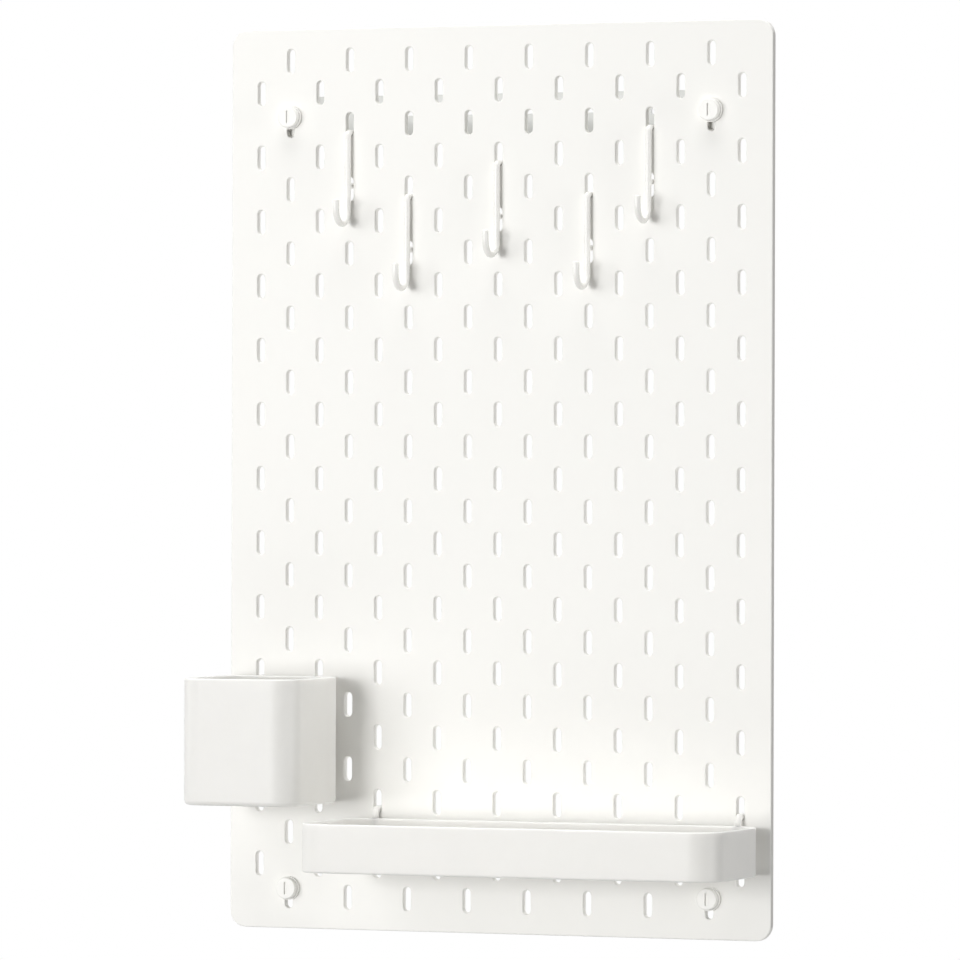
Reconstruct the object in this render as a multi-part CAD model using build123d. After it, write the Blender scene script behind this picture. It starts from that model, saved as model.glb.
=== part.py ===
from build123d import *
from math import cos, pi, sin
import os

os.makedirs("parts", exist_ok=True)

# The origin is midway between the two wall screw holes, on the wall.
# X runs along the wall to the right, Y into the wall and Z up. Sizes are in millimetres.

# Panel: painted fibreboard with slots in staggered rows
PANEL_WIDTH = 360
PANEL_HEIGHT = 560
PANEL_THICKNESS = 5
PANEL_CORNER = 10
FRONT_EDGE = 1.2
BACK_EDGE = 0.8
SLOT_WIDTH = 5
SLOT_HEIGHT = 15
COLUMN_PITCH = 40
ROW_PITCH = 20
SLOT_END_FLATS = 3

# Slot counts that fill the panel: an odd number of rows, every second one a slot longer
SLOT_ROWS = int(PANEL_HEIGHT / ROW_PITCH - 1) // 2 * 2 + 1
SHORT_ROW_SLOTS = round(PANEL_WIDTH / COLUMN_PITCH) - 1
LAST_ROW = SLOT_ROWS - 1

# Gaps between pieces that touch, hang or turn
SEAT_GAP = 0.25
WALL_GAP = 13
SHAFT_GAP = 0.05
HEAD_GAP = 0.05

# Wall rail: a flange on the wall with a channel in front of its lower half
RAIL_OVERHANG = 10
RAIL_RISE = 12.3
RAIL_DROP = 16
RAIL_DEPTH = 7.8
FLANGE_THICKNESS = 3
LIP_THICKNESS = 2
CHANNEL_FLOOR = 2
LIP_DROP = 7.5
WALL_HOLE_SPACING = 194
WALL_HOLE_RADIUS = 2.5
LIP_NOTCH_WIDTH = 24
WINDOW_LENGTH = 156
WINDOW_HEIGHT = 6
WINDOW_DROP = 0.4
RAIL_CORNER = 2

# Coin-slot screws
SHAFT_RADIUS = 2.2
SHAFT_LENGTH = 14
HEAD_RADIUS = 7.4
HEAD_THICKNESS = 5.6
HEAD_EDGE = 1
HEAD_SIDES = 24
COIN_SLOT_WIDTH = 1.5
COIN_SLOT_LENGTH = 7.5
COIN_SLOT_DEPTH = 2.5

# Hangers that hook over the rail, and plain stand-offs at the foot
HANGER_WIDTH = 16
HANGER_RISE = 8
HANGER_CORNER = 2.5
SADDLE_DROP = 6.25
TONGUE_DROP = 5.4
TONGUE_CLEARANCE = 0.3
STANDOFF_RADIUS = 7

# Bent bars follow their bends in straight steps of this angle
BEND_STEP = 22.5

# Wire hooks
WIRE = 4
WIRE_SIDES = 8
WIRE_BEND = 2.8
STEM_GAP = 0.7
HOOK_DROP = 56.8
HOOK_RADIUS = 9.05
HOOK_TIP_RISE = 15
HOOK_LIFT = 3.3
LEG_CLEARANCE = 0.4
PEG_CLEARANCE = 0.2

# Arms moulded on the container and the shelf
ARM_WIDTH = 4.4
ARM_DEPTH = 4.8
ARM_EDGE = 1.3
ARM_BEND = 3
ARM_GAP = 0.4
ARM_LIFT = 9.5
ARM_LEG_CLEARANCE = 0.5
BODY_GAP = 3.5
RIB_ABOVE_FLOOR = 8

# Container
CONTAINER_WIDTH = 77.6
CONTAINER_DEPTH = 80.6
CONTAINER_HEIGHT = 78
CONTAINER_CORNER = 15.8
CONTAINER_WALL = 2.2
CONTAINER_FOOT = 2
CONTAINER_RIM_DROP = 2.8

# Shelf
SHELF_WIDTH = 274
SHELF_DEPTH = 87
SHELF_HEIGHT = 30
SHELF_CORNER = 18
SHELF_WALL = 2.2
SHELF_FOOT = 1.2
SHELF_RIM_DROP = 10.2

# Slots that each piece hangs in, as row and column from the top left
MIDDLE_COLUMN = SHORT_ROW_SLOTS // 2
RIGHT_COLUMN = SHORT_ROW_SLOTS - 1
HOOK_SLOTS = [(2, 1), (4, 2), (3, MIDDLE_COLUMN), (4, RIGHT_COLUMN - 2), (2, RIGHT_COLUMN - 1)]
CONTAINER_SLOTS = [(LAST_ROW - 7, 0), (LAST_ROW - 7, 1)]
SHELF_ROW = LAST_ROW - 3
SHELF_ARM_TO_END = 15
SCREW_SLOTS = {
    "top_left": (2, 0),
    "top_right": (2, RIGHT_COLUMN),
    "bottom_left": (LAST_ROW, 0),
    "bottom_right": (LAST_ROW, RIGHT_COLUMN),
}
TOP_SCREW_ROW = SCREW_SLOTS["top_left"][0]
# Slots offered to other accessories keep true round ends
MOUNT_SLOTS = [(9, 4), (11, 4)]

# Places worked out from the sizes above
PANEL_BACK = -WALL_GAP
PANEL_FRONT = PANEL_BACK - PANEL_THICKNESS
HALF_SLOT = SLOT_HEIGHT / 2
SADDLE_Z = -LIP_DROP + SEAT_GAP
TOP_SCREW_Z = SADDLE_Z + SADDLE_DROP
SCREW_ABOVE_SLOT = HALF_SLOT - SEAT_GAP - SHAFT_RADIUS
MIDDLE_ROW = LAST_ROW / 2
PANEL_Z = TOP_SCREW_Z - SCREW_ABOVE_SLOT - (MIDDLE_ROW - TOP_SCREW_ROW) * ROW_PITCH
PEG_ABOVE_SLOT = HALF_SLOT - WIRE / 2 - HOOK_LIFT - SEAT_GAP
RAIL_LENGTH = RIGHT_COLUMN * COLUMN_PITCH + 2 * RAIL_OVERHANG
SHELF_ARM_SPAN = int((SHELF_WIDTH / 2 - SHELF_ARM_TO_END) / COLUMN_PITCH) * 2
SHELF_SLOTS = [(SHELF_ROW, SHORT_ROW_SLOTS - SHELF_ARM_SPAN), (SHELF_ROW, SHORT_ROW_SLOTS)]


def slot_place(row, column):
    """X and Z of a slot's centre; every odd row holds one slot more."""
    count = SHORT_ROW_SLOTS + row % 2
    x = (column - (count - 1) / 2) * COLUMN_PITCH
    z = PANEL_Z + (MIDDLE_ROW - row) * ROW_PITCH
    return x, z


def round_slot():
    """A slot with true half-round ends, upright."""
    return SlotOverall(SLOT_HEIGHT, SLOT_WIDTH, rotation=90)


def flat_ended_slot():
    """A slot whose round ends are flats that touch the true arc."""
    turn = pi / (SLOT_END_FLATS + 1)
    radius = SLOT_WIDTH / 2 / cos(turn / 2)
    centre = (SLOT_HEIGHT - SLOT_WIDTH) / 2
    angles = [turn * (step + 0.5) for step in range(SLOT_END_FLATS + 1)]
    upper = [(radius * cos(a), centre + radius * sin(a)) for a in angles]
    lower = [(-x, -y) for x, y in upper]
    return Polygon(*upper, *lower, align=None)


def panel():
    outline = RectangleRounded(PANEL_WIDTH, PANEL_HEIGHT, PANEL_CORNER)
    board = extrude(Plane.XZ * outline, PANEL_THICKNESS)
    board = chamfer(board.faces().sort_by(Axis.Y)[0].edges(), FRONT_EDGE)
    board = chamfer(board.faces().sort_by(Axis.Y)[-1].edges(), BACK_EDGE)
    cutters = []
    for row in range(SLOT_ROWS):
        for column in range(SHORT_ROW_SLOTS + row % 2):
            x, z = slot_place(row, column)
            shape = round_slot() if (row, column) in MOUNT_SLOTS else flat_ended_slot()
            cutters.append(Pos(x, 0, z - PANEL_Z) * extrude(Plane.XZ * shape, PANEL_THICKNESS))
    return Pos(0, PANEL_BACK, PANEL_Z) * (board - cutters)


def bar(profile, length):
    """A profile drawn in Y and Z, drawn out evenly to both sides of X = 0."""
    return extrude(Plane.YZ * make_face(Polyline(*profile, close=True)), length / 2, both=True)


def block(x_size, y_range, z_range):
    """A block centred on X = 0 between two depths and two heights."""
    depth = y_range[1] - y_range[0]
    height = z_range[1] - z_range[0]
    middle = Pos(0, (y_range[0] + y_range[1]) / 2, (z_range[0] + z_range[1]) / 2)
    return middle * Box(x_size, depth, height)


def wall_rail():
    bottom = -RAIL_DROP
    floor = bottom + CHANNEL_FLOOR
    lip_top = -LIP_DROP
    profile = [
        (0, bottom),
        (0, RAIL_RISE),
        (-FLANGE_THICKNESS, RAIL_RISE),
        (-FLANGE_THICKNESS, floor),
        (-RAIL_DEPTH + LIP_THICKNESS, floor),
        (-RAIL_DEPTH + LIP_THICKNESS, lip_top),
        (-RAIL_DEPTH, lip_top),
        (-RAIL_DEPTH, bottom),
    ]
    rail = bar(profile, RAIL_LENGTH)
    rail = chamfer(rail.edges().filter_by(Axis.Y).group_by(Axis.Z)[-1], RAIL_CORNER)
    notch = block(LIP_NOTCH_WIDTH, (-RAIL_DEPTH, -RAIL_DEPTH + LIP_THICKNESS), (floor, lip_top))
    hole = extrude(Plane.XZ * Circle(WALL_HOLE_RADIUS), FLANGE_THICKNESS)
    for side in (-1, 1):
        rail -= Pos(side * WALL_HOLE_SPACING / 2, 0, 0) * (notch + hole)
    window = SlotOverall(WINDOW_LENGTH, WINDOW_HEIGHT)
    window_z = WINDOW_HEIGHT / 2 - WINDOW_DROP
    return rail - Pos(0, 0, window_z) * extrude(Plane.XZ * window, FLANGE_THICKNESS)


def hanger():
    """An inverted channel that straddles the lip, centred on its screw."""
    saddle = -SADDLE_DROP
    foot = saddle - TONGUE_DROP
    rear = -FLANGE_THICKNESS - TONGUE_CLEARANCE
    body = block(HANGER_WIDTH, (PANEL_BACK, rear), (foot, HANGER_RISE))
    body = chamfer(body.edges().filter_by(Axis.Y).group_by(Axis.Z)[-1], HANGER_CORNER)
    lip_front = -RAIL_DEPTH - TONGUE_CLEARANCE
    lip_back = -RAIL_DEPTH + LIP_THICKNESS + TONGUE_CLEARANCE
    body -= block(HANGER_WIDTH, (lip_front, lip_back), (foot, saddle))
    return body - screw_bore()


def screw_bore():
    return extrude(Plane.XZ * Circle(SHAFT_RADIUS + SHAFT_GAP), WALL_GAP)


def standoff():
    """A sleeve from the back of the panel to the wall, centred on its screw."""
    return extrude(Plane.XZ * Circle(STANDOFF_RADIUS), WALL_GAP) - screw_bore()


def coin_screw():
    """A screw with a slot for a coin, centred on its axis."""
    head_back = Pos(0, PANEL_FRONT - HEAD_GAP, 0)
    head = extrude(Plane.XZ * RegularPolygon(HEAD_RADIUS, HEAD_SIDES), HEAD_THICKNESS)
    head = chamfer(head.edges().group_by(Axis.Y)[0], HEAD_EDGE)
    coin_slot = extrude(Plane.XZ * Rectangle(COIN_SLOT_WIDTH, COIN_SLOT_LENGTH), COIN_SLOT_DEPTH)
    head -= Pos(0, COIN_SLOT_DEPTH - HEAD_THICKNESS, 0) * coin_slot
    shaft = extrude(Plane.XZ * Circle(SHAFT_RADIUS), SHAFT_LENGTH)
    return head_back * (head + Pos(0, SHAFT_LENGTH, 0) * shaft)


def arch(front_y, back_y, top_z, bend):
    """Lines and arcs over the bottom of a slot, from the front leg to the rear leg."""
    rise = JernArc((front_y, top_z - bend), (0, 1), bend, -90)
    over = Line((front_y + bend, top_z), (back_y - bend, top_z))
    fall = JernArc((back_y - bend, top_z), (1, 0), bend, -90)
    return [rise, over, fall]


def bent_bar(section, pieces):
    """A section swept along lines and arcs drawn in Y and Z, with its first line upright."""
    points = [pieces[0] @ 0]
    for piece in pieces:
        turn = (piece % 0).get_angle(piece % 1)
        steps = max(1, round(turn / BEND_STEP))
        points += [piece @ ((step + 1) / steps) for step in range(steps)]
    path = Plane.YZ * Polyline(*points)
    seat = Plane(path @ 0, x_dir=(0, 1, 0), z_dir=path % 0)
    return sweep(seat * section, path, transition=Transition.RIGHT)


def hook():
    """A bent wire, centred on its slot at the front of the panel."""
    arm_z = -HALF_SLOT + SEAT_GAP + WIRE / 2
    stem_y = -STEM_GAP - WIRE / 2
    leg_y = PANEL_THICKNESS + STEM_GAP + WIRE / 2
    leg_bottom = -HALF_SLOT - HOOK_LIFT + LEG_CLEARANCE
    low_z = arm_z - HOOK_DROP
    curl_z = low_z + HOOK_RADIUS
    tip_y = stem_y - 2 * HOOK_RADIUS
    pieces = [
        Line((tip_y, low_z + HOOK_TIP_RISE), (tip_y, curl_z)),
        JernArc((tip_y, curl_z), (0, -1), HOOK_RADIUS, 180),
        Line((stem_y, curl_z), (stem_y, arm_z - WIRE_BEND)),
        *arch(stem_y, leg_y, arm_z, WIRE_BEND),
        Line((leg_y, arm_z - WIRE_BEND), (leg_y, leg_bottom)),
    ]
    section = RegularPolygon(WIRE / 2, WIRE_SIDES)
    peg_tip = PANEL_THICKNESS - PEG_CLEARANCE
    peg = extrude(Plane.XZ * section, peg_tip - stem_y)
    return bent_bar(section, pieces) + Pos(0, peg_tip, PEG_ABOVE_SLOT - 2 * ROW_PITCH) * peg


def arm(rib_bottom):
    """A moulded arm, centred on its slot at the front of the panel."""
    arm_z = -HALF_SLOT + SEAT_GAP + ARM_DEPTH / 2
    rib_y = -ARM_GAP - ARM_DEPTH / 2
    leg_y = PANEL_THICKNESS + ARM_GAP + ARM_DEPTH / 2
    leg_bottom = -HALF_SLOT - ARM_LIFT + ARM_LEG_CLEARANCE
    pieces = [
        Line((rib_y, rib_bottom), (rib_y, arm_z - ARM_BEND)),
        *arch(rib_y, leg_y, arm_z, ARM_BEND),
        Line((leg_y, arm_z - ARM_BEND), (leg_y, leg_bottom)),
    ]
    section = Rectangle(ARM_DEPTH, ARM_WIDTH)
    return bent_bar(chamfer(section.vertices(), ARM_EDGE), pieces)


def open_box(width, depth, height, corner, wall, foot):
    """A round-cornered box open at the top, its rim at Z = 0 and its back at Y = 0."""
    outer = extrude(RectangleRounded(width, depth, corner), height)
    outer = chamfer(outer.faces().sort_by(Axis.Z)[0].edges(), foot)
    inner = extrude(RectangleRounded(width - 2 * wall, depth - 2 * wall, corner - wall), height)
    inner = chamfer(inner.faces().sort_by(Axis.Z)[0].edges(), foot)
    return Pos(0, -depth / 2, -height) * (outer - Pos(0, 0, wall) * inner)


def hung_box(shell, slots, rim_below_slot, height):
    """Seats an open box on the panel with one arm in each of its slots."""
    places = [slot_place(*slot) for slot in slots]
    middle = sum(x for x, z in places) / len(places)
    slot_z = places[0][1]
    whole = Pos(middle, PANEL_FRONT - BODY_GAP, slot_z - rim_below_slot) * shell
    rib_bottom = -rim_below_slot - height + RIB_ABOVE_FLOOR
    for x, z in places:
        whole += Pos(x, PANEL_FRONT, z) * arm(rib_bottom)
    return whole


def container():
    shell = open_box(
        CONTAINER_WIDTH,
        CONTAINER_DEPTH,
        CONTAINER_HEIGHT,
        CONTAINER_CORNER,
        CONTAINER_WALL,
        CONTAINER_FOOT,
    )
    return hung_box(shell, CONTAINER_SLOTS, CONTAINER_RIM_DROP, CONTAINER_HEIGHT)


def shelf():
    shell = open_box(
        SHELF_WIDTH, SHELF_DEPTH, SHELF_HEIGHT, SHELF_CORNER, SHELF_WALL, SHELF_FOOT
    )
    return hung_box(shell, SHELF_SLOTS, SHELF_RIM_DROP, SHELF_HEIGHT)


nodes = {
    "pegboard_panel": panel(),
    "wall_rail": wall_rail(),
    "container": container(),
    "shelf": shelf(),
}
for place, slot in SCREW_SLOTS.items():
    x, z = slot_place(*slot)
    at_screw = Pos(x, 0, z + SCREW_ABOVE_SLOT)
    nodes["screw_" + place] = at_screw * coin_screw()
    level, side = place.split("_")
    if level == "top":
        nodes["hanger_" + side] = at_screw * hanger()
    else:
        nodes["standoff_" + side] = at_screw * standoff()
for number, slot in enumerate(HOOK_SLOTS, start=1):
    x, z = slot_place(*slot)
    nodes["hook_" + str(number)] = Pos(x, PANEL_FRONT, z) * hook()

for name, shape in nodes.items():
    export_step(shape, "parts/" + name + ".step")
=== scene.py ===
import math

import bmesh
import bpy
import numpy as np
from mathutils import Matrix, Vector


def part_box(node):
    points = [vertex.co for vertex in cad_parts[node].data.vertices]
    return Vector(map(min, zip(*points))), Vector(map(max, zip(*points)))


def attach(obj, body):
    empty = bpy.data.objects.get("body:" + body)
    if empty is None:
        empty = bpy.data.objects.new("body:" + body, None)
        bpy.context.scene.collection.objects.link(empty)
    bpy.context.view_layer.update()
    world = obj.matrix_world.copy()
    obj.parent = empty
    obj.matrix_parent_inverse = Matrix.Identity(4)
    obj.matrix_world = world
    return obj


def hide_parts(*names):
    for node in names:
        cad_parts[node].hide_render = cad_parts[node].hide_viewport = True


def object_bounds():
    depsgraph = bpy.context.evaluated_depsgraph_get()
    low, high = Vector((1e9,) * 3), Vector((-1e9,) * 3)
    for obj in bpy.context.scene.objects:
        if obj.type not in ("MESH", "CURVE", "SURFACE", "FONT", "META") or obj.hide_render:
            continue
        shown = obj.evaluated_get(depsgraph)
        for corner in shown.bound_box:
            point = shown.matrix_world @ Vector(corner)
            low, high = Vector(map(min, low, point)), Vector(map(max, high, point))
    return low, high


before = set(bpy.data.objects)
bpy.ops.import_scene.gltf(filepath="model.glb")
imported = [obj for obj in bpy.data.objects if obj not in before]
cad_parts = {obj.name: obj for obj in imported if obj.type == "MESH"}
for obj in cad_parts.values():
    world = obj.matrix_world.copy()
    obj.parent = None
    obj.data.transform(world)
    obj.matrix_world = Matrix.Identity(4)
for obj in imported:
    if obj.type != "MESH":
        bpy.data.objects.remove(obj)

cad_low, cad_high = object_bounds()

# Camera. The photograph is a long-lens product shot taken from the right of the board
# and level with its middle, so uprights stay upright and rows run almost level.
CAMERA_FROM_BOARD = Vector((1.7168, -4.16395, 0.00293))
CAMERA_TURN = 22.54391
CAMERA_TILT = -0.04375
CAMERA_ROLL = 0.15363
CAMERA_LENS = 274.3
SENSOR_WIDTH = 36
VIEW_DEPTH = 50

board_low, board_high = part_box("pegboard_panel")
board_front = board_low.y
board_middle = np.array([(board_low.x + board_high.x) / 2, (board_low.z + board_high.z) / 2])
board_centre = Vector((board_middle[0], board_front, board_middle[1]))
camera_turn = (
    Matrix.Rotation(math.radians(CAMERA_TURN), 4, "Z")
    @ Matrix.Rotation(math.radians(90 + CAMERA_TILT), 4, "X")
    @ Matrix.Rotation(math.radians(CAMERA_ROLL), 4, "Z")
)
lens = bpy.data.cameras.new("camera")
lens.sensor_width = SENSOR_WIDTH
lens.lens = CAMERA_LENS
lens.clip_end = VIEW_DEPTH
camera = bpy.data.objects.new("camera", lens)
camera.matrix_world = Matrix.Translation(board_centre + CAMERA_FROM_BOARD) @ camera_turn
bpy.context.collection.objects.link(camera)
bpy.context.scene.camera = camera


# Board. Hardboard about 5 mm thick, routed with 27 staggered rows of upright slots,
# then sprayed with white paint, which rounds the outer edges and the rims of the slots.
def linear(code):
    """Turns an sRGB hex colour into linear red, green and blue, with full alpha."""
    values = [int(code[place:place + 2], 16) / 255 for place in (1, 3, 5)]
    return [v / 12.92 if v <= 0.04045 else ((v + 0.055) / 1.055) ** 2.4 for v in values] + [1]


def add_node(tree, kind, settings, links):
    """Adds a node, sets its sockets or properties by name, and links its inputs."""
    made = tree.nodes.new(kind)
    for name, value in settings.items():
        if isinstance(name, int) or name in made.inputs:
            made.inputs[name].default_value = value
        else:
            setattr(made, name, value)
    for name, socket in links.items():
        tree.links.new(socket, made.inputs[name])
    return made


def new_finish(name, settings):
    """A material with a Principled shader, and the object coordinates of what wears it."""
    finish = bpy.data.materials.new(name)
    finish.use_nodes = True
    tree = finish.node_tree
    tree.nodes.clear()
    shader = add_node(tree, "ShaderNodeBsdfPrincipled", settings, {})
    add_node(tree, "ShaderNodeOutputMaterial", {}, {"Surface": shader.outputs["BSDF"]})
    place = add_node(tree, "ShaderNodeTexCoord", {}, {}).outputs["Object"]
    return finish, tree, shader, place


def painted_hardboard():
    """Satin acrylic paint on hardboard: nearly matte, with a faint orange peel.

    The peel's cells are 1.5 mm across, and 25 mm patches vary a little in gloss and tint.
    Where a face turns away from front and back, as the routed slot walls do, its colour is a
    shade darker: painted shade for the light such side faces miss. The sawn outer edges, all
    that lies within 0.3 mm of the outline, get a darker painted shade still.
    """
    finish, tree, shader, place = new_finish("painted_hardboard", {"IOR": 1.47})
    cells = {"Scale": 1 / PEEL_CELL, "Detail": 2}
    peel = add_node(tree, "ShaderNodeTexNoise", cells, {"Vector": place})
    dimples = {"Strength": 0.12, "Distance": 0.0001}
    bump = add_node(tree, "ShaderNodeBump", dimples, {"Height": peel.outputs["Fac"]})
    tree.links.new(bump.outputs["Normal"], shader.inputs["Normal"])
    spread = {"Scale": 1 / PAINT_PATCH, "Detail": 3}
    patches = add_node(tree, "ShaderNodeTexNoise", spread, {"Vector": place}).outputs["Fac"]
    satin = {"To Min": 0.46, "To Max": 0.56}
    gloss = add_node(tree, "ShaderNodeMapRange", satin, {"Value": patches})
    tree.links.new(gloss.outputs["Result"], shader.inputs["Roughness"])
    tint = add_node(tree, "ShaderNodeValToRGB", {}, {"Fac": patches})
    tint.color_ramp.elements[0].color = linear("#F3F2EE")
    tint.color_ramp.elements[1].color = linear("#F7F6F2")

    # Painted shade: side faces, the slot walls and the outer edges, get a darker paint colour in
    # place of the shade they would catch.
    facing = add_node(tree, "ShaderNodeTexCoord", {}, {}).outputs["Normal"]
    forward = add_node(tree, "ShaderNodeSeparateXYZ", {}, {"Vector": facing}).outputs["Y"]
    either_way = add_node(tree, "ShaderNodeMath", {"operation": "ABSOLUTE"}, {0: forward})
    front_or_back = {"From Min": 0.3, "From Max": 0.8}
    flat = add_node(tree, "ShaderNodeMapRange", front_or_back, {"Value": either_way.outputs[0]})
    from_middle = {"Location": (-board_middle[0], 0, -board_middle[1])}
    centred = add_node(tree, "ShaderNodeMapping", from_middle, {"Vector": place})
    reach = add_node(tree, "ShaderNodeSeparateXYZ", {}, {"Vector": centred.outputs["Vector"]})
    edge_shade_masks = []
    for axis, half_size in (("X", half_width), ("Z", half_height)):
        out = add_node(tree, "ShaderNodeMath", {"operation": "ABSOLUTE"}, {0: reach.outputs[axis]})
        band = {"From Min": half_size - EDGE_SHADE_BAND, "From Max": half_size - EDGE_SHADE_BAND / 2}
        edge = add_node(tree, "ShaderNodeMapRange", band, {"Value": out.outputs[0]})
        edge_shade_masks.append(edge.outputs["Result"])
    outer = add_node(tree, "ShaderNodeMath", {"operation": "MAXIMUM"}, {0: edge_shade_masks[0], 1: edge_shade_masks[1]})
    # The painted shade colours: a little darker on the slot walls, much darker on the outer edges.
    wall_and_edge_shade_colours = {"Color1": linear("#F0EFEB"), "Color2": linear("#D4D3CF")}
    painted_side_shade = add_node(tree, "ShaderNodeMixRGB", wall_and_edge_shade_colours, {"Fac": outer.outputs[0]})
    side_shade_or_paint = {
        "Fac": flat.outputs["Result"],
        "Color1": painted_side_shade.outputs["Color"],
        "Color2": tint.outputs["Color"],
    }
    paint = add_node(tree, "ShaderNodeMixRGB", {}, side_shade_or_paint)
    tree.links.new(paint.outputs["Color"], shader.inputs["Base Color"])
    return finish


def grid_quads(rows, columns, closed):
    """Corner numbers of the faces between neighbouring rows and columns of a grid."""
    row = np.arange(rows - 1)[:, None] * columns
    column = np.arange(columns if closed else columns - 1)[None, :]
    beside = (column + 1) % columns
    corners = [row + column, row + beside, row + columns + beside, row + columns + column]
    return np.stack(corners, -1).reshape(-1, 4)


def add_piece(name, sheets, finish, body, replaced):
    """Joins sheets of points and faces into one closed mesh that stands for CAD nodes."""
    points = np.concatenate([sheet.reshape(-1, 3) for sheet, _ in sheets])
    starts = np.cumsum([0] + [sheet.size // 3 for sheet, _ in sheets[:-1]])
    faces = []
    for start, (_, corners) in zip(starts, sheets):
        faces += (np.asarray(corners) + start).tolist()
    mesh = bpy.data.meshes.new(name)
    mesh.from_pydata(points.tolist(), [], faces)
    shape = bmesh.new()
    shape.from_mesh(mesh)
    bmesh.ops.remove_doubles(shape, verts=shape.verts, dist=SAME_POINT)
    bmesh.ops.recalc_face_normals(shape, faces=shape.faces)
    shape.to_mesh(mesh)
    shape.free()
    mesh.shade_smooth()
    mesh.materials.append(finish)
    made = bpy.data.objects.new(name, mesh)
    bpy.context.collection.objects.link(made)
    even = made.modifiers.new("flats stay flat", "WEIGHTED_NORMAL")
    even.weight = FLAT_WEIGHT
    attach(made, body)
    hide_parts(replaced)
    return made


PEEL_CELL = 0.0015
PAINT_PATCH = 0.025
# Width of the band along the board's outline that gets the darkest painted shade.
EDGE_SHADE_BAND = 0.0003
SAME_POINT = 2e-6
FLAT_WEIGHT = 90
SLOT_ROWS = 27
SHORT_ROW = 8
SLOT_PITCH = 0.040
ROW_PITCH = 0.020
SLOT_RADIUS = 0.0025
SLOT_ARC_HEIGHT = 0.005
SLOT_TURNS = np.radians(np.arange(0, 181, 30))
SLOT_RIM = 0.0008
SLOT_BACK_RIM = 0.0005
BOARD_CORNER = 0.010
CORNER_TURNS = np.radians(np.arange(0, 91, 15))
BOARD_EDGE = 0.0009
BOARD_BACK_EDGE = 0.001
EDGE_STEPS = 4
RIM_STEPS = 3
QUARTER_MARKS = np.linspace(-0.5, 0.5, 5)
half_width = (board_high.x - board_low.x) / 2
half_height = (board_high.z - board_low.z) / 2
board_depth = board_high.y - board_low.y
corner_place = np.array([half_width - BOARD_CORNER, half_height - BOARD_CORNER])


def slot_place(row, column):
    """X and Z of a slot's middle from the board's; rows and columns run from the top left."""
    across = column - (SHORT_ROW + row % 2 - 1) / 2
    return across * SLOT_PITCH, ((SLOT_ROWS - 1) / 2 - row) * ROW_PITCH


def slot_ring(grow):
    """Sixteen points round a slot: two half circles, and the middles of both sides."""
    radius = SLOT_RADIUS + grow
    arc = radius * np.stack([np.cos(SLOT_TURNS), np.sin(SLOT_TURNS)], 1)
    upper = arc + (0, SLOT_ARC_HEIGHT)
    return np.concatenate([upper, [[-radius, 0]], -upper, [[radius, 0]]])


def cell_ring():
    """The sixteen points of a slot's cell border that face the points of slot_ring."""
    upper = np.array([(1, 0.5), (1, 1), (0.5, 1), (0, 1), (-0.5, 1), (-1, 1), (-1, 0.5)])
    ring = np.concatenate([upper, [[-1, 0]], -upper, [[1, 0]]])
    return ring * (SLOT_PITCH / 2, ROW_PITCH / 2)


def rounding(radius, steps):
    """Insets and depths of a quarter circle, from a flat face over its edge."""
    turn = np.linspace(0, np.pi / 2, steps + 1)
    return radius * (1 - np.sin(turn)), radius * (1 - np.cos(turn))


def over_board(plan, depth):
    """Points of the board from X and Z about its middle and depths from its front."""
    depths = np.broadcast_to(depth, plan.shape[:-1])
    upright = plan + board_middle
    return np.stack([upright[..., 0], board_front + depths, upright[..., 1]], -1)


def corner_arc(inset):
    """The board's upper right corner: a quarter circle from its side to its top."""
    arc = np.stack([np.cos(CORNER_TURNS), np.sin(CORNER_TURNS)], 1)
    return corner_place + (BOARD_CORNER - inset) * arc


def board_outline(inset):
    """The board's outline, drawn in by an inset: a side, the top and both their corners.

    The other half is the same turned by 180 degrees. Flats have points where the slot
    cells, the short rows' ends and the borders on them have theirs.
    """
    z = np.arange(-corner_place[1], corner_place[1], ROW_PITCH / 4)
    x = np.arange(corner_place[0], -corner_place[0], -SLOT_PITCH / 4)
    side = np.stack([np.full_like(z, half_width - inset), z], 1)
    top = np.stack([x, np.full_like(x, half_height - inset)], 1)
    arc = corner_arc(inset)
    half = np.concatenate([side, arc[:-1], top, (arc * (-1, 1))[:0:-1]])
    return np.concatenate([half, -half])


def board_flat(depth, edge, rim):
    """One flat side: a cell round each slot, then the short rows' ends, borders and corners."""
    limit = half_width - edge
    rings = np.stack([cell_ring(), slot_ring(rim)])
    cells = slot_places[:, None, None, :] + rings
    cells[..., 0] = np.clip(cells[..., 0], -limit, limit)
    count, _, around, _ = cells.shape
    quads = grid_quads(2, around, True) + 2 * around * np.arange(count)[:, None, None]
    flats = [(cells, quads.reshape(-1, 4))]
    long_x = np.arange(-corner_place[0], corner_place[0] + ROW_PITCH / 4, SLOT_PITCH / 4)
    end_x = np.array([corner_place[0] - SLOT_PITCH / 4, corner_place[0], limit])
    spoke = np.arange(1, len(CORNER_TURNS))
    for side in (-1, 1):
        for row in range(0, SLOT_ROWS, 2):
            z = slot_place(row, 0)[1] + ROW_PITCH * QUARTER_MARKS
            row_end = np.stack(np.meshgrid(side * end_x, z), -1)
            flats.append((row_end, grid_quads(len(z), len(end_x), False)))
        z = side * np.array([corner_place[1], half_height - edge])
        border = np.stack(np.meshgrid(long_x, z), -1)
        flats.append((border, grid_quads(len(z), len(long_x), False)))
        for across in (-1, 1):
            fan = np.concatenate([corner_place[None], corner_arc(edge)]) * (across, side)
            flats.append((fan, np.stack([np.zeros_like(spoke), spoke, spoke + 1], 1)))
    return [(over_board(plan, depth), faces) for plan, faces in flats]


def stack_rings(rings, depths):
    """Faces round a stack of closed outlines, one outline at each depth."""
    plan = np.stack(rings)
    return over_board(plan, np.array(depths)[:, None]), grid_quads(len(rings), plan.shape[1], True)


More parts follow.
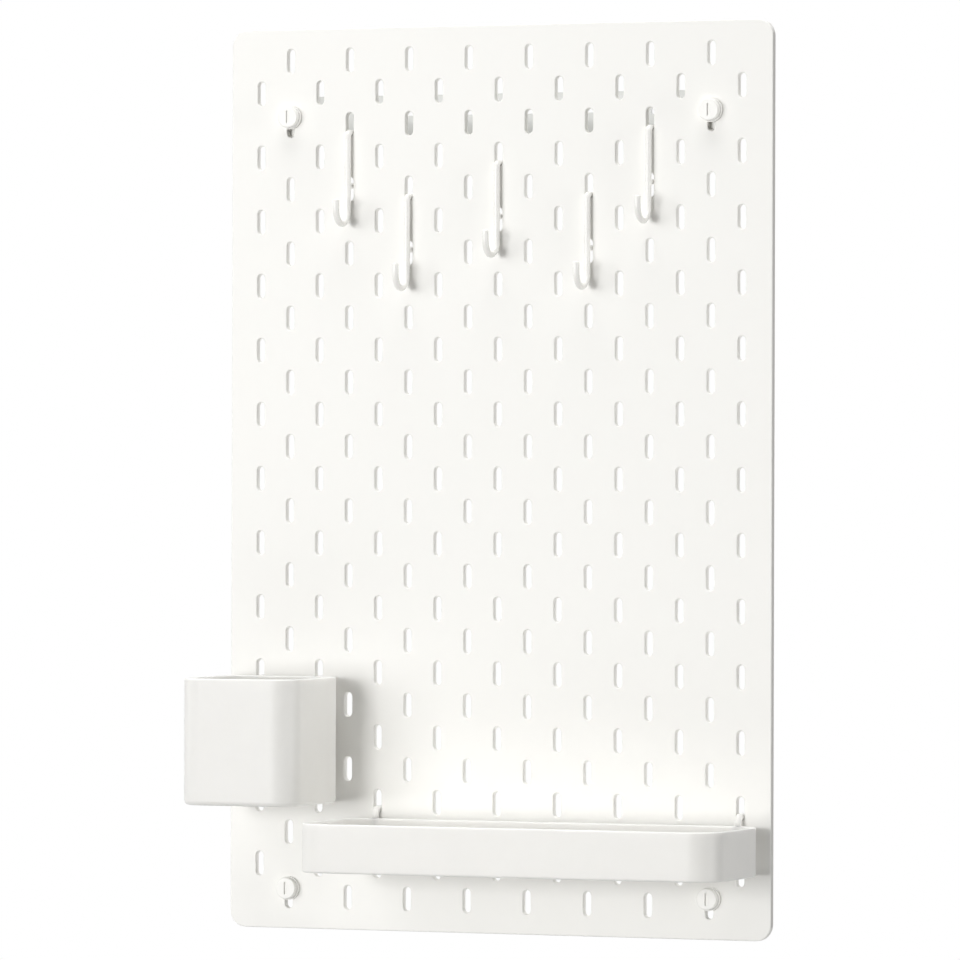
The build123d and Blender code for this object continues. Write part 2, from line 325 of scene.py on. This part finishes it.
slot_places = np.array([
    slot_place(row, column) for row in range(SLOT_ROWS) for column in range(SHORT_ROW + row % 2)
])
board_sheets = board_flat(0, BOARD_EDGE, SLOT_RIM)
board_sheets += board_flat(board_depth, BOARD_BACK_EDGE, SLOT_BACK_RIM)

front_inset, front_depth = rounding(BOARD_EDGE, EDGE_STEPS)
back_inset, back_depth = rounding(BOARD_BACK_EDGE, RIM_STEPS)
edge_insets = np.concatenate([front_inset, back_inset[::-1]])
edge_depths = np.concatenate([front_depth, board_depth - back_depth[::-1]])
board_sheets.append(stack_rings([board_outline(inset) for inset in edge_insets], edge_depths))

rim_grow, rim_depth = rounding(SLOT_RIM, RIM_STEPS)
slot_grow = np.append(rim_grow, [0, SLOT_BACK_RIM])
slot_depth = np.append(rim_depth, [board_depth - SLOT_BACK_RIM, board_depth])
slot_plan = slot_places[:, None, None, :] + np.stack([slot_ring(grow) for grow in slot_grow])
slot_count, slot_levels, slot_points, _ = slot_plan.shape
slot_starts = slot_levels * slot_points * np.arange(slot_count)
slot_faces = grid_quads(slot_levels, slot_points, True) + slot_starts[:, None, None]
board_sheets.append((over_board(slot_plan, slot_depth[:, None]), slot_faces.reshape(-1, 4)))
board = add_piece("painted_board", board_sheets, painted_hardboard(), "board", "pegboard_panel")


# Wall rail. A light grey moulded strip that is screwed to the wall; the board's hangers
# sit in its channel. From the front it shows only through the slots of the upper rows.
def moulded_rail_plastic():
    """ABS from a spark-eroded mould: a dry, even grain of 0.4 mm that scatters highlights."""
    matte = {"IOR": 1.52, "Roughness": 0.55, "Base Color": linear("#DFE0DF")}
    finish, tree, shader, place = new_finish("moulded_rail_abs", matte)
    cells = {"Scale": 1 / RAIL_GRAIN, "Detail": 2}
    grain = add_node(tree, "ShaderNodeTexNoise", cells, {"Vector": place})
    pits = {"Strength": 0.2, "Distance": 0.00005}
    bump = add_node(tree, "ShaderNodeBump", pits, {"Height": grain.outputs["Fac"]})
    tree.links.new(bump.outputs["Normal"], shader.inputs["Normal"])
    return finish


def dress(nodes, finish):
    """Gives CAD nodes that keep their own shape a finish."""
    for name in nodes:
        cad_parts[name].data.materials.clear()
        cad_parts[name].data.materials.append(finish)


RAIL_GRAIN = 0.0004
dress(["wall_rail"], moulded_rail_plastic())


# Hangers, stand-offs and coin screws. White moulded nylon; each screw clamps the board
# to the hanger or the stand-off behind it, and is turned with a coin in its slot.
def moulded_nylon():
    """Nylon from a polished mould: satin, faintly cloudy over 6 mm, with soft highlights."""
    white = {"IOR": 1.53, "Base Color": linear("#F1F0EC")}
    finish, tree, shader, place = new_finish("moulded_nylon", white)
    spread = {"Scale": 1 / NYLON_CLOUD, "Detail": 3}
    cloud = add_node(tree, "ShaderNodeTexNoise", spread, {"Vector": place})
    satin = {"To Min": 0.36, "To Max": 0.46}
    gloss = add_node(tree, "ShaderNodeMapRange", satin, {"Value": cloud.outputs["Fac"]})
    tree.links.new(gloss.outputs["Result"], shader.inputs["Roughness"])
    return finish


def rounded_plan(width, height, corner):
    """A rectangle with quarter circles for corners; a circle if the corners fill it."""
    turn = np.linspace(0, np.pi / 2, QUARTER_STEPS + 1)
    corner_middle = (width / 2 - corner, height / 2 - corner)
    arc = corner * np.stack([np.cos(turn), np.sin(turn)], 1) + corner_middle
    half = np.concatenate([arc, (arc * (-1, 1))[::-1]])
    return np.concatenate([half, -half])


def cap(ring):
    """One flat face that closes a ring of points."""
    return ring, [list(range(len(ring)))]


def circle(radius):
    """A round outline, as a square whose corners fill it."""
    return rounded_plan(2 * radius, 2 * radius, radius)


def coin_slot(grow):
    """The outline of the slot for a coin, upright across the head, widened all round."""
    width = COIN_SLOT_WIDTH + 2 * grow
    return rounded_plan(width, COIN_SLOT_LENGTH + 2 * grow, COIN_SLOT_CORNER + grow)


NYLON_CLOUD = 0.006
QUARTER_STEPS = 9
SHAFT_RADIUS = 0.0022
SHAFT_LENGTH = 0.014
SHAFT_TIP = 0.0005
HEAD_GAP = 0.00005
HEAD_THICKNESS = 0.0056
COLLAR_RADIUS = 0.0074
COLLAR_THICKNESS = 0.0024
COLLAR_EDGE = 0.0003
CAP_RADIUS = 0.0066
CAP_EDGE = 0.0007
COIN_SLOT_WIDTH = 0.0015
COIN_SLOT_LENGTH = 0.0075
COIN_SLOT_CORNER = 0.0003
COIN_SLOT_DEPTH = 0.0009
COIN_SLOT_RIM = 0.0003
SMALL_STEPS = 2
SCREW_ABOVE_SLOT = 0.00505

collar_inset, collar_depth = rounding(COLLAR_EDGE, SMALL_STEPS)
cap_inset, cap_depth = rounding(CAP_EDGE, EDGE_STEPS)
rim_inset, rim_fall = rounding(COIN_SLOT_RIM, SMALL_STEPS)
screw_rings = [circle(SHAFT_RADIUS - SHAFT_TIP), circle(SHAFT_RADIUS), circle(SHAFT_RADIUS)]
screw_depths = [SHAFT_LENGTH, SHAFT_LENGTH - SHAFT_TIP, 0]
screw_rings += [circle(COLLAR_RADIUS - inset) for inset in collar_inset]
screw_depths += (-collar_depth).tolist()
screw_rings += [circle(COLLAR_RADIUS - inset) for inset in collar_inset[::-1]]
screw_depths += (collar_depth[::-1] - COLLAR_THICKNESS).tolist()
screw_rings += [circle(CAP_RADIUS)] + [circle(CAP_RADIUS - inset) for inset in cap_inset[::-1]]
screw_depths += [-COLLAR_THICKNESS] + (cap_depth[::-1] - HEAD_THICKNESS).tolist()
screw_rings += [coin_slot(inset) for inset in rim_inset] + [coin_slot(0)]
screw_depths += (rim_fall - HEAD_THICKNESS).tolist() + [COIN_SLOT_DEPTH - HEAD_THICKNESS]

nylon = moulded_nylon()
dress(["hanger_left", "hanger_right", "standoff_left", "standoff_right"], nylon)
screw_slots = {
    "screw_top_left": (2, 0),
    "screw_top_right": (2, SHORT_ROW - 1),
    "screw_bottom_left": (SLOT_ROWS - 1, 0),
    "screw_bottom_right": (SLOT_ROWS - 1, SHORT_ROW - 1),
}
for name, slot in screw_slots.items():
    shift = np.array(slot_place(*slot)) + (0, SCREW_ABOVE_SLOT)
    rings = [ring + shift for ring in screw_rings]
    points, quads = stack_rings(rings, np.array(screw_depths) - HEAD_GAP)
    sheets = [(points, quads), cap(points[0]), cap(points[-1])]
    screw = add_piece(name.replace("screw", "coin_screw"), sheets, nylon, name, name)


# Hooks. Steel wire of 4 mm, bent cold: one end hooks down behind the board, the other
# curls up in front, and a short peg is welded on for the slot below. Powder coated white.
def powder_coat():
    """Baked epoxy powder on steel: semi-gloss, with an orange peel 0.6 mm across."""
    white = {"IOR": 1.5, "Base Color": linear("#F2F1ED")}
    finish, tree, shader, place = new_finish("powder_coated_steel", white)
    cells = {"Scale": 1 / POWDER_PEEL, "Detail": 1}
    peel = add_node(tree, "ShaderNodeTexNoise", cells, {"Vector": place}).outputs["Fac"]
    dimples = {"Strength": 0.1, "Distance": 0.00005}
    bump = add_node(tree, "ShaderNodeBump", dimples, {"Height": peel})
    tree.links.new(bump.outputs["Normal"], shader.inputs["Normal"])
    semi_gloss = {"To Min": 0.24, "To Max": 0.32}
    gloss = add_node(tree, "ShaderNodeMapRange", semi_gloss, {"Value": peel})
    tree.links.new(gloss.outputs["Result"], shader.inputs["Roughness"])
    return finish


def bent_line(start, heading, moves):
    """Points and headings along runs and bends in Y and Z, each a length and a turn.

    Each step is a chord of its arc, laid at the heading half way through the step.
    """
    points, headings = [np.array([start])], [np.array([math.radians(heading)])]
    for length, turn in moves:
        steps = max(1, round(abs(turn) / BEND_STEP))
        step_turn = math.radians(turn) / steps
        along = headings[-1][-1] + step_turn * np.arange(1, steps + 1)
        chord = length / steps * np.sinc(step_turn / (2 * np.pi))
        halfway = along - step_turn / 2
        travel = chord * np.stack([np.cos(halfway), np.sin(halfway)], 1)
        points.append(points[-1][-1] + np.cumsum(travel, axis=0))
        headings.append(along)
    return np.concatenate(points), np.concatenate(headings)


def bar(line, radius, half_flat, end_round, x):
    """A round or slightly flattened bar about a line, with rounded and closed ends.

    At each end the section shrinks over a quarter circle and then closes to a point.
    """
    points, headings = line
    shrink, fall = rounding(end_round, EDGE_STEPS)
    reach = (end_round - fall)[:, None]
    ahead = np.stack([np.cos(headings), np.sin(headings)], 1)
    tail = points[0] - reach * ahead[0]
    nose = (points[-1] + reach * ahead[-1])[::-1]
    centres = np.concatenate([tail[:1], tail, points[1:-1], nose, nose[-1:]])
    end_radii = np.append(0, radius - shrink)
    radii = np.concatenate([end_radii, np.full(len(points) - 2, radius), end_radii[::-1]])
    tail_turn = np.full(len(tail) + 1, headings[0])
    nose_turn = np.full(len(nose) + 1, headings[-1])
    turned = np.concatenate([tail_turn, headings[1:-1], nose_turn])
    outward = np.stack([-np.sin(turned), np.cos(turned)], 1)
    turn = (np.arange(BAR_SIDES) + 0.5) * 2 * np.pi / BAR_SIDES
    flat = np.where(radii > 0, half_flat, 0)[:, None] * np.sign(np.cos(turn))
    along = flat + radii[:, None] * np.cos(turn)
    across = radii[:, None] * np.sin(turn)
    plane = centres[:, None, :] + along[..., None] * outward[:, None, :]
    sheet = np.stack([x + across, board_front + plane[..., 0], plane[..., 1]], -1)
    return sheet, grid_quads(len(centres), BAR_SIDES, True)


POWDER_PEEL = 0.0006
BAR_SIDES = 24
BEND_STEP = 9
SLOT_BOTTOM = -0.0075
SEAT_GAP = 0.00025
WIRE_RADIUS = 0.002
WIRE_BEND = 0.0028
WIRE_END = 0.001
STEM_GAP = 0.0007
HOOK_DROP = 0.0568
HOOK_RADIUS = 0.00905
HOOK_TIP_RISE = 0.015
HOOK_LIFT = 0.0033
LEG_CLEARANCE = 0.0004
PEG_CLEARANCE = 0.0002

hook_arm = SLOT_BOTTOM + SEAT_GAP + WIRE_RADIUS
hook_stem = -STEM_GAP - WIRE_RADIUS
hook_leg = board_depth + STEM_GAP + WIRE_RADIUS
hook_leg_end = SLOT_BOTTOM - HOOK_LIFT + LEG_CLEARANCE
hook_start = (hook_stem - 2 * HOOK_RADIUS, hook_arm - HOOK_DROP + HOOK_TIP_RISE - WIRE_END)
hook_moves = [
    (HOOK_TIP_RISE - HOOK_RADIUS - WIRE_END, 0),
    (math.pi * HOOK_RADIUS, 180),
    (HOOK_DROP - HOOK_RADIUS - WIRE_BEND, 0),
    (math.pi / 2 * WIRE_BEND, -90),
    (hook_leg - hook_stem - 2 * WIRE_BEND, 0),
    (math.pi / 2 * WIRE_BEND, -90),
    (hook_arm - WIRE_BEND - hook_leg_end - WIRE_END, 0),
]
peg_height = -2 * ROW_PITCH - SLOT_BOTTOM - WIRE_RADIUS - HOOK_LIFT - SEAT_GAP
peg_length = board_depth - PEG_CLEARANCE - WIRE_END - hook_stem

coat = powder_coat()
hook_slots = {
    "hook_1": (2, 1),
    "hook_2": (4, 2),
    "hook_3": (3, 4),
    "hook_4": (4, 5),
    "hook_5": (2, 6),
}
for name, slot in hook_slots.items():
    x, z = board_middle + slot_place(*slot)
    wire = bent_line((hook_start[0], z + hook_start[1]), -90, hook_moves)
    peg = bent_line((hook_stem, z + peg_height), 0, [(peg_length, 0)])
    sheets = [bar(wire, WIRE_RADIUS, 0, WIRE_END, x), bar(peg, WIRE_RADIUS, 0, WIRE_END, x)]
    hook = add_piece(name.replace("hook", "wire_hook"), sheets, coat, name, name)


# Container and shelf. Each is one white polypropylene moulding: an open box with round
# corners, and two ribs on its back that run up and over through a pair of slots.
def moulded_polypropylene():
    """Polypropylene from a smooth mould: satin, with faint flow clouds 18 mm across.

    It is milky: light goes about 3 mm into its walls, which evens out their shaded sides.
    """
    milky = {
        "IOR": 1.49,
        "Subsurface Weight": 1.0,
        "Subsurface Scale": MILKY_DEPTH,
        "Subsurface Radius": (1, 1, 1),
    }
    finish, tree, shader, place = new_finish("moulded_polypropylene", milky)
    spread = {"Scale": 1 / FLOW_CLOUD, "Detail": 3}
    cloud = add_node(tree, "ShaderNodeTexNoise", spread, {"Vector": place}).outputs["Fac"]
    satin = {"To Min": 0.42, "To Max": 0.5}
    gloss = add_node(tree, "ShaderNodeMapRange", satin, {"Value": cloud})
    tree.links.new(gloss.outputs["Result"], shader.inputs["Roughness"])
    tint = add_node(tree, "ShaderNodeValToRGB", {}, {"Fac": cloud})
    tint.color_ramp.elements[0].color = linear("#E4E3E0")
    tint.color_ramp.elements[1].color = linear("#E8E7E4")
    tree.links.new(tint.outputs["Color"], shader.inputs["Base Color"])
    return finish


def open_box(size, corner, foot, middle_x, rim_z):
    """Closed wall of an open box: up inside, over the rim, down outside and under.

    Each ring is the outer outline drawn in by an inset; round edges are quarter circles.
    """
    width, depth, height = size
    foot_in, foot_fall = rounding(foot, EDGE_STEPS)
    rim_in, rim_fall = rounding(RIM_ROUND, RIM_STEPS)
    inner = np.concatenate([BOX_WALL + foot_in, BOX_WALL - rim_in[::-1]])
    insets = np.concatenate([inner, rim_in, foot_in[::-1]])
    inner_heights = np.concatenate([BOX_WALL - height + foot_fall, -rim_fall[::-1]])
    heights = np.concatenate([inner_heights, -rim_fall, foot_fall[::-1] - height])
    rings = [rounded_plan(width - 2 * i, depth - 2 * i, corner - i) for i in insets]
    plan = np.stack(rings) + (middle_x, board_front - BODY_GAP - depth / 2)
    levels = np.broadcast_to((rim_z + heights)[:, None], plan.shape[:2])
    points = np.stack([plan[..., 0], plan[..., 1], levels], -1)
    faces = grid_quads(len(insets), plan.shape[1], True)
    return [(points, faces), cap(points[0]), cap(points[-1])]


def arms(slots, rib_bottom):
    """Ribs that start low on the back, rise, bend through the slots and hook down behind."""
    arm_top = SLOT_BOTTOM + SEAT_GAP + ARM_DEPTH / 2
    rib = -ARM_GAP - ARM_DEPTH / 2
    leg = board_depth + ARM_GAP + ARM_DEPTH / 2
    leg_end = SLOT_BOTTOM - ARM_LIFT + ARM_LEG_CLEARANCE
    half_flat = (ARM_DEPTH - ARM_WIDTH) / 2
    moves = [
        (arm_top - ARM_BEND - rib_bottom, 0),
        (math.pi / 2 * ARM_BEND, -90),
        (leg - rib - 2 * ARM_BEND, 0),
        (math.pi / 2 * ARM_BEND, -90),
        (arm_top - ARM_BEND - leg_end - ARM_END, 0),
    ]
    sheets = []
    for slot in slots:
        x, z = board_middle + slot_place(*slot)
        line = bent_line((rib, z + rib_bottom), 90, moves)
        sheets.append(bar(line, ARM_WIDTH / 2, half_flat, ARM_END, x))
    return sheets


FLOW_CLOUD = 0.018
MILKY_DEPTH = 0.003
BODY_GAP = 0.0035
BOX_WALL = 0.0022
RIM_ROUND = 0.0007
RIB_ABOVE_FLOOR = 0.008
ARM_WIDTH = 0.0044
ARM_DEPTH = 0.0048
ARM_BEND = 0.003
ARM_GAP = 0.0004
ARM_LIFT = 0.0095
ARM_LEG_CLEARANCE = 0.0005
ARM_END = 0.0015
CONTAINER_SLOTS = [(19, 0), (19, 1)]
CONTAINER_SIZE = (0.0776, 0.0806, 0.078)
CONTAINER_CORNER = 0.0158
CONTAINER_FOOT = 0.003
CONTAINER_RIM_DROP = 0.0028
SHELF_SLOTS = [(23, 2), (23, 8)]
SHELF_SIZE = (0.274, 0.087, 0.030)
SHELF_CORNER = 0.018
SHELF_FOOT = 0.0015
SHELF_RIM_DROP = 0.0102

polypropylene = moulded_polypropylene()
container_low, container_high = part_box("container")
container_x = (container_low.x + container_high.x) / 2
container_rim = board_middle[1] + slot_place(*CONTAINER_SLOTS[0])[1] - CONTAINER_RIM_DROP
sheets = open_box(CONTAINER_SIZE, CONTAINER_CORNER, CONTAINER_FOOT, container_x, container_rim)
sheets += arms(CONTAINER_SLOTS, RIB_ABOVE_FLOOR - CONTAINER_RIM_DROP - CONTAINER_SIZE[2])
container = add_piece("moulded_container", sheets, polypropylene, "container", "container")

shelf_low, shelf_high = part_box("shelf")
shelf_x = (shelf_low.x + shelf_high.x) / 2
shelf_rim = board_middle[1] + slot_place(*SHELF_SLOTS[0])[1] - SHELF_RIM_DROP
sheets = open_box(SHELF_SIZE, SHELF_CORNER, SHELF_FOOT, shelf_x, shelf_rim)
sheets += arms(SHELF_SLOTS, RIB_ABOVE_FLOOR - SHELF_RIM_DROP - SHELF_SIZE[2])
shelf = add_piece("moulded_shelf", sheets, polypropylene, "shelf", "shelf")


# Studio. A pale floor, two soft lamps in front of the board on the left and level with it,
# a large one high above it, and smaller ones at both sides, on the upper left and behind
# it. The camera and reflections see the room as plain white.
FLOOR_DROP = 1.8
FLOOR_SIZE = 5.0
floor_edges = [-FLOOR_SIZE / 2, FLOOR_SIZE / 2]
floor_y, floor_x = np.meshgrid(floor_edges, floor_edges)
floor_z = np.full_like(floor_x, cad_low.z - FLOOR_DROP)
floor_points = np.stack([floor_x, floor_y, floor_z], -1).reshape(-1, 3)
floor_mesh = bpy.data.meshes.new("floor")
floor_mesh.from_pydata(floor_points.tolist(), [], grid_quads(2, 2, False).tolist())
pale = {"Roughness": 0.6, "Base Color": linear("#EDEDEC")}
floor_mesh.materials.append(new_finish("pale_floor", pale)[0])
floor = bpy.data.objects.new("floor", floor_mesh)
bpy.context.collection.objects.link(floor)


def soft_lamp(name, place, back, size, power):
    """A rectangular lamp at a place, whose back points away from what it lights."""
    lamp = bpy.data.lights.new(name, "AREA")
    lamp.shape = "RECTANGLE"
    lamp.size, lamp.size_y = size
    lamp.energy = power
    made = bpy.data.objects.new(name, lamp)
    aim = Vector(back).to_track_quat("Z", "Y").to_matrix().to_4x4()
    made.matrix_world = Matrix.Translation(place) @ aim
    made.visible_camera = False
    bpy.context.collection.objects.link(made)


# Each lamp's place from the middle of the board's front, its width and height, and its
# power. All face that middle, and the lit wall shines out through the slots.
BOARD_LAMPS = {
    "key": ((-1.06, -4.37, -0.04), (0.85, 1.2), 77),
    "wide key": ((-2.45, -3.78, -0.04), (2.0, 1.3), 36),
    "left side": ((-3.5, -0.5, 0.1), (1.0, 1.5), 12),
    "upper left fill": ((-1.0, -1.7, 0.6), (0.9, 0.9), 8),
    "right fill": ((3.1, -0.34, 0.0), (0.6, 2.0), 34),
    "top": ((0, -0.25, 4.0), (2.6, 2.6), 165),
    "lit wall": ((0, 0.02, 0), (2 * half_width, 2 * half_height), 0.5),
}
for name, (from_board, size, power) in BOARD_LAMPS.items():
    soft_lamp(name, board_centre + Vector(from_board), from_board, size, power)

# A small lamp just behind the board faces the wall and lights the rail.
GLOW_BEHIND_BOARD = 0.0001
GLOW_HEIGHT = 0.003
GLOW_SIZE = (0.26, 0.020)
GLOW_POWER = 0.0085
glow_place = Vector((board_centre.x, board_high.y + GLOW_BEHIND_BOARD, GLOW_HEIGHT))
soft_lamp("light between board and wall", glow_place, (0, -1, 0), GLOW_SIZE, GLOW_POWER)

ROOM_LIGHT = 0.03
world = bpy.data.worlds.new("bright_room")
world.use_nodes = True
room = world.node_tree
room.nodes.clear()
ray = add_node(room, "ShaderNodeLightPath", {}, {})
seen = ray.outputs["Is Camera Ray"]
for kind in ("Is Glossy Ray", "Is Transmission Ray"):
    either = {0: seen, 1: ray.outputs[kind]}
    seen = add_node(room, "ShaderNodeMath", {"operation": "MAXIMUM"}, either).outputs[0]
dim_or_white = {"To Min": ROOM_LIGHT, "To Max": 1.0}
strength = add_node(room, "ShaderNodeMapRange", dim_or_white, {"Value": seen})
white = {"Color": linear("#FFFFFF")}
glow = add_node(room, "ShaderNodeBackground", white, {"Strength": strength.outputs["Result"]})
add_node(room, "ShaderNodeOutputWorld", {}, {"Surface": glow.outputs["Background"]})
bpy.context.scene.world = world
bpy.context.scene.view_settings.view_transform = "Standard"
